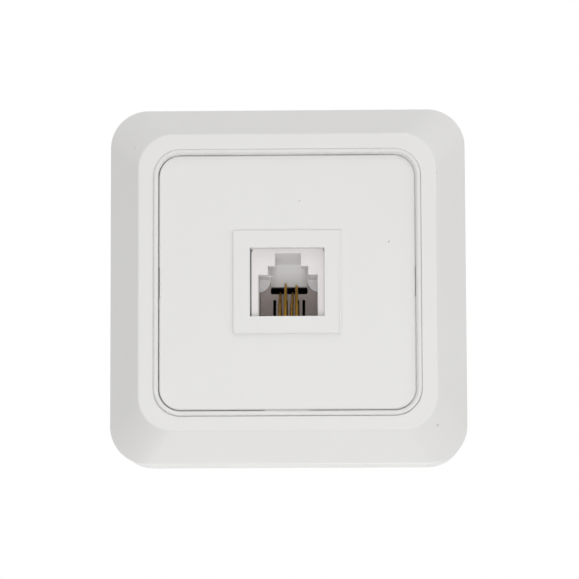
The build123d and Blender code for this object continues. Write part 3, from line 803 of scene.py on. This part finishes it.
def makeContactWire(index):
    # a round wire: a circle carried along a straight tail, one bend and a straight sprung end;
    # its radius falls towards the tip, and both ends close in half a sphere,
    # radius * sqrt(1 - (1 - distance / radius)^2)
    w = contactWires
    runAcross, tipAcross, height, level = w["wires"][index]
    start = np.array([w["runHeight"], w["tailLevel"]])
    turn = np.array([w["runHeight"], w["turnLevel"]])
    tip = np.array([height, level])
    steps = w["bendSteps"]
    rounding = np.array([w["endRounding"], w["bendRadius"], w["endRounding"]])
    corner = roundCorners(np.array([start, turn, tip]), rounding, steps)
    line = np.concatenate([[start], corner[steps + 1:2 * (steps + 1)], [tip]])
    along = np.concatenate([[0], np.cumsum(np.linalg.norm(np.diff(line, axis=0), axis=1))])
    total = along[-1]
    cap = 1 - np.cos(np.linspace(0, np.pi / 2, w["capSteps"] + 1))
    taperStart, tipStart = total - w["taperLength"], total - w["tipRadius"]
    taper = np.linspace(taperStart, tipStart, w["taperSteps"] + 1)
    spots = np.unique(np.concatenate([w["radius"] * cap, along[1:-1], taper,
                                      total - w["tipRadius"] * cap]))
    centre = np.stack([np.interp(spots, along, line[:, 0]),
                       np.interp(spots, along, line[:, 1])], 1)
    radius = np.interp(spots, [0, taperStart, total], [w["radius"], w["radius"], w["tipRadius"]])
    toEnd = np.minimum(spots, total - spots)
    radius *= np.sqrt(np.clip(1 - (1 - np.minimum(toEnd / radius, 1)) ** 2, 0, 1))
    heading = np.gradient(centre, axis=0)
    heading /= np.linalg.norm(heading, axis=1)[:, None]
    turnRound = np.linspace(0, 2 * np.pi, w["around"], endpoint=False)
    side = radius[:, None] * np.cos(turnRound)
    lift = radius[:, None] * np.sin(turnRound)
    bend = total - np.linalg.norm(tip - turn)
    x = np.interp(spots, [0, bend, total], [runAcross, runAcross, tipAcross])[:, None] + side
    z = centre[:, :1] + lift * heading[:, 1:]
    y = -(centre[:, 1:] - lift * heading[:, :1])
    points = np.stack([x, y, z], -1)
    piece = meshPiece(f"contactWire{index + 1}", *closePoles(points), goldWire)
    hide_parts(f"contact_wire_{index + 1}")


solderJoints = {
    # place across and height on the board's back of each joint, with its foot's radius, in
    # millimetres, and the share of the foot that the neck keeps
    "wirePlaces": [(-1.41, -6.625), (-0.39, -6.625), (0.63, -6.625), (1.65, -6.625)],
    "pinPlaces": [(-7.38, 10.55), (-2.38, 10.55), (2.62, 10.55), (7.62, 10.55)],
    "wireFoot": 0.48, "pinFoot": 1.1, "height": 0.75, "neck": 0.3, "boardLevel": 5.0,
    "rings": 9, "around": 20,
}


def makeSolderJoints():
    # each joint is a hollow-sided cone turned about its pin, and the same rings are set at
    # every place: radius = foot * (neck + (1 - neck) * (1 - rise)^2) * sqrt(1 - rise^6), which
    # ends in a small round top
    j = solderJoints
    rise = np.linspace(0, 1, j["rings"])
    width = j["neck"] + (1 - j["neck"]) * (1 - rise) ** 2
    width = np.concatenate([[0], width * np.sqrt(np.clip(1 - rise ** 6, 0, 1))])
    out = np.concatenate([[0], rise]) * j["height"]
    places = np.array(j["wirePlaces"] + j["pinPlaces"])
    foot = np.repeat([j["wireFoot"], j["pinFoot"]], [len(j["wirePlaces"]), len(j["pinPlaces"])])
    turn = np.linspace(0, 2 * np.pi, j["around"], endpoint=False)
    reach = foot[:, None, None] * width[None, :, None]
    x = places[:, 0, None, None] + reach * np.cos(turn)
    z = places[:, 1, None, None] + reach * np.sin(turn)
    y = np.broadcast_to(-(j["boardLevel"] - out)[None, :, None], x.shape)
    joints = [closePoles(rings) for rings in np.stack([x, y, z], -1)]
    starts = np.cumsum([0] + [len(points) for points, faces in joints[:-1]])
    allPoints = np.concatenate([points for points, faces in joints])
    allFaces = np.concatenate([faces + start for (points, faces), start in zip(joints, starts)])
    meshPiece("solderJoints", allPoints, allFaces, solderMetal)


makeCoverShell()
makeGapLedge()
makeJackFlange()
makeSolderJoints()
makeMouldFlash()
for index in range(len(contactWires["wires"])):
    makeContactWire(index)
print("new pieces made")

edgeRounds = {
    # how wide the broken edges of each CAD piece are, in millimetres
    "back_box": 0.1, "carrier_frame": 0.2, "center_plate": 0.04, "jack_bezel": 0.07,
    "jack_housing": 0.03, "contact_carrier": 0.04, "circuit_board": 0.06,
    "terminal_block": 0.08, "terminal_clamp": 0.06, "terminal_screw": 0.06,
    "carrier_screw": 0.08, "board_screw": 0.06,
}
edgeWork = {
    # points closer than this become one, in millimetres; faces that lie within flatAngle of
    # each other become one, and edges above sharpAngle are rounded, in degrees
    "weld": 0.001, "flatAngle": 0.5, "sharpAngle": 35, "segments": 3,
}
finishes = {
    "back_box": boxPlastic, "cover_frame": whitePlastic, "carrier_frame": frameShadePlastic,
    "center_plate": whitePlastic, "jack_bezel": whitePlastic, "jack_housing": jackPlastic,
    "contact_carrier": carrierPlastic, "contact_wire": goldWire, "circuit_board": boardFinish,
    "terminal_block": terminalPlastic, "terminal_clamp": clampMetal,
    "terminal_screw": screwMetal, "carrier_screw": screwMetal, "board_screw": screwMetal,
}


def buildSmoothing():
    # a modifier's node tree that shades faces smoothly and leaves the mesh itself as it came
    tree = bpy.data.node_groups.new("smoothShading", "GeometryNodeTree")
    for way in ("INPUT", "OUTPUT"):
        tree.interface.new_socket("Geometry", in_out=way, socket_type="NodeSocketGeometry")
    smooth = addNode(tree, "GeometryNodeSetShadeSmooth")
    join(tree, addNode(tree, "NodeGroupInput").outputs[0], smooth.inputs[0])
    join(tree, smooth.outputs[0], addNode(tree, "NodeGroupOutput").inputs[0])
    return tree


smoothShading = buildSmoothing()


def roundEdges(node, width):
    weld = node.modifiers.new("weld", "WELD")
    weld.merge_threshold = edgeWork["weld"] * mm
    flat = node.modifiers.new("flatten", "DECIMATE")
    flat.decimate_type = "DISSOLVE"
    flat.angle_limit = math.radians(edgeWork["flatAngle"])
    smooth = node.modifiers.new("smooth", "NODES")
    smooth.node_group = smoothShading
    bevel = node.modifiers.new("bevel", "BEVEL")
    bevel.width = width * mm
    bevel.segments = edgeWork["segments"]
    bevel.limit_method = "ANGLE"
    bevel.angle_limit = math.radians(edgeWork["sharpAngle"])
    bevel.harden_normals = True
    evenNormals(node)


for name, node in nodes.items():
    kind = name.rstrip("0123456789").rstrip("_")
    node.data.materials.clear()
    node.data.materials.append(finishes[kind])
    if kind in edgeRounds:
        roundEdges(node, edgeRounds[kind])
makeClipFlanks()
print("edges broken and finishes given")

floorLook = {
    "width": 3.0, "colour": 0.85, "roughness": 0.9, "paper": 900.0, "paperSpread": 0.01,
    # near the socket this much of the sheet is plain white, and past fadeEnd all of it
    "whiteNear": 0.35, "fadeStart": 0.05, "fadeEnd": 0.3,
}


def layFloor():
    # a pale sheet under the socket, seen from above only; near the socket it is a lit surface
    # that keeps the shadow, and further out it turns to plain white; the room's light from
    # below passes it
    f = floorLook
    level, half = cadLow.z, f["width"] / 2
    mesh = bpy.data.meshes.new("floor")
    corners = [(-half, -half, level), (half, -half, level), (half, half, level),
               (-half, half, level)]
    mesh.from_pydata(corners, [], [(0, 1, 2, 3)])
    floor = bpy.data.objects.new("floor", mesh)
    scene.collection.objects.link(floor)
    made, tree, bsdf = newMaterial("paleFloor")
    bsdf.inputs["Roughness"].default_value = f["roughness"]
    paper = noise(tree, objectPlace(tree), f["paper"], 3.0)
    pale = rangeNode(tree, paper, *noiseSpan, f["colour"] - f["paperSpread"],
                     f["colour"] + f["paperSpread"])
    join(tree, pale, bsdf.inputs["Base Color"])
    path = addNode(tree, "ShaderNodeLightPath")
    white = addNode(tree, "ShaderNodeEmission")
    apart = addNode(tree, "ShaderNodeVectorMath", operation="LENGTH")
    join(tree, objectPlace(tree), apart.inputs[0])
    fade = rangeNode(tree, apart.outputs["Value"], f["fadeStart"], f["fadeEnd"],
                     f["whiteNear"], 1.0, True)
    seen = mathNode(tree, "MAXIMUM", path.outputs["Is Camera Ray"], path.outputs["Is Glossy Ray"])
    sheet = addNode(tree, "ShaderNodeMixShader")
    join(tree, times(tree, fade, seen), sheet.inputs[0])
    join(tree, bsdf.outputs[0], sheet.inputs[1])
    join(tree, white.outputs[0], sheet.inputs[2])
    under = addNode(tree, "ShaderNodeNewGeometry").outputs["Backfacing"]
    clear = mathNode(tree, "MAXIMUM", path.outputs["Is Diffuse Ray"],
                     path.outputs["Is Shadow Ray"])
    clear = mathNode(tree, "MAXIMUM", clear, under)
    whole = addNode(tree, "ShaderNodeMixShader")
    join(tree, clear, whole.inputs[0])
    join(tree, sheet.outputs[0], whole.inputs[1])
    join(tree, addNode(tree, "ShaderNodeBsdfTransparent").outputs[0], whole.inputs[2])
    join(tree, whole.outputs[0], tree.nodes["Material Output"].inputs["Surface"])
    mesh.materials.append(made)


layFloor()
print("floor laid")
